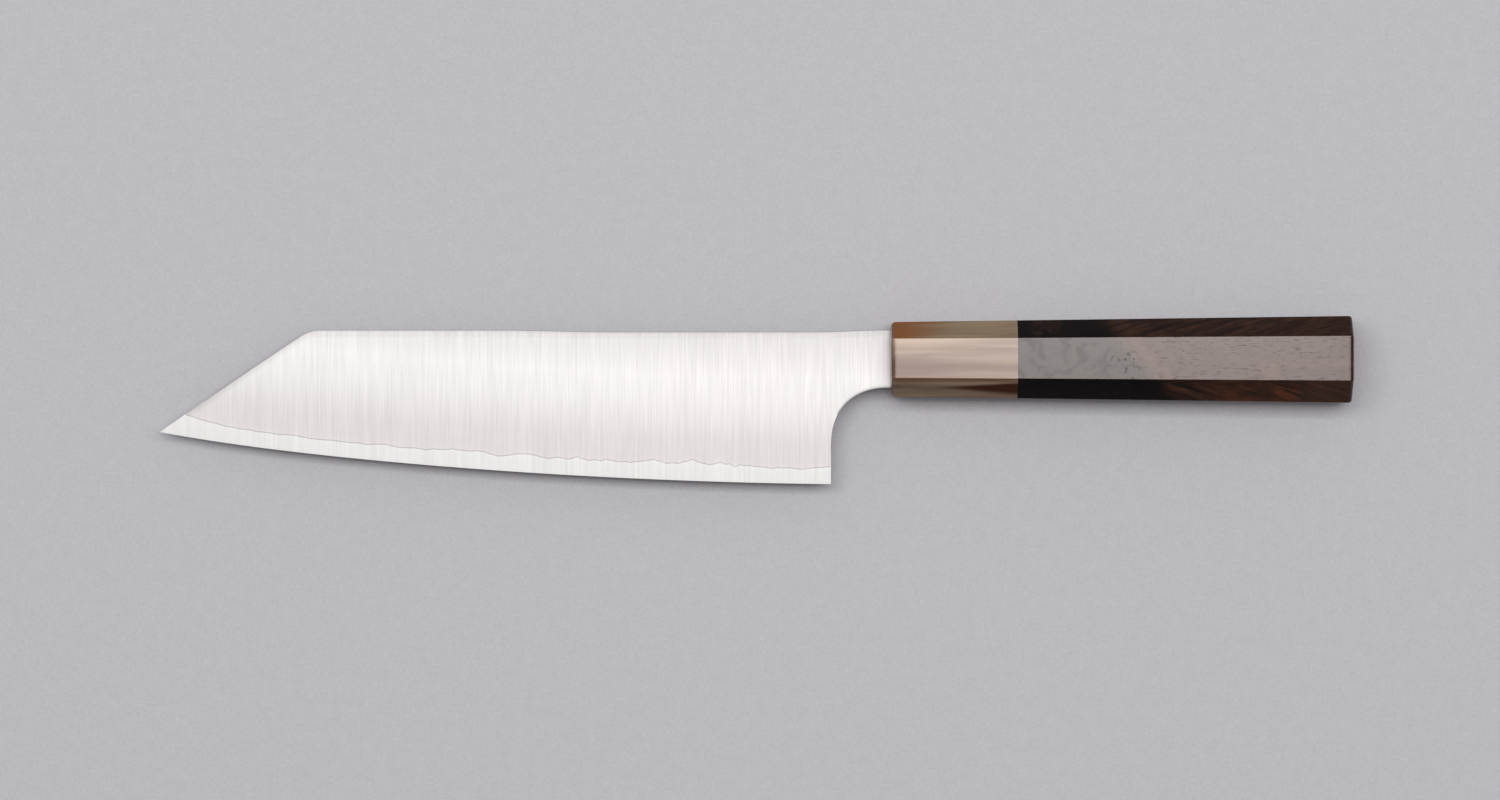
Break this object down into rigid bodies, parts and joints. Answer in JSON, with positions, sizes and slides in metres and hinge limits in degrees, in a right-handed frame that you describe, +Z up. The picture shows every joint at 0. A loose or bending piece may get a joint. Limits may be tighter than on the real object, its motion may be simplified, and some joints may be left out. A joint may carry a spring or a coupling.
{
  "type": "chef knife",
  "caption": "Laminated kitchen knife with an angled front and an eight-sided horn and ebony handle, for slicing and chopping.",
  "frame": {"origin": "under the middle of the knife's bounding box, on the surface that the knife lies on", "axes": "+X from the blade's tip to the handle's butt, +Y from the cutting edge to the spine, +Z up, out of the blade's left side as the knife lies on its right side"},
  "size_m": [0.3729, 0.0526, 0.023],
  "materials": {
    "core_steel": "satin",
    "cladding_steel": "satin",
    "buffalo_horn": "satin",
    "ebony": "satin",
    "dowel_wood": "matte",
    "bedding_resin": "gloss",
    "seal_wax": "matte"
  },
  "bodies": {
    "root": {"core_steel": "core_steel", "cladding_left": "cladding_steel", "cladding_right": "cladding_steel", "horn_ferrule": "buffalo_horn", "handle_body": "ebony", "tenon_dowel": "dowel_wood", "tang_bedding": "bedding_resin", "ferrule_mouth_seal": "seal_wax"}
  },
  "joints": []
}
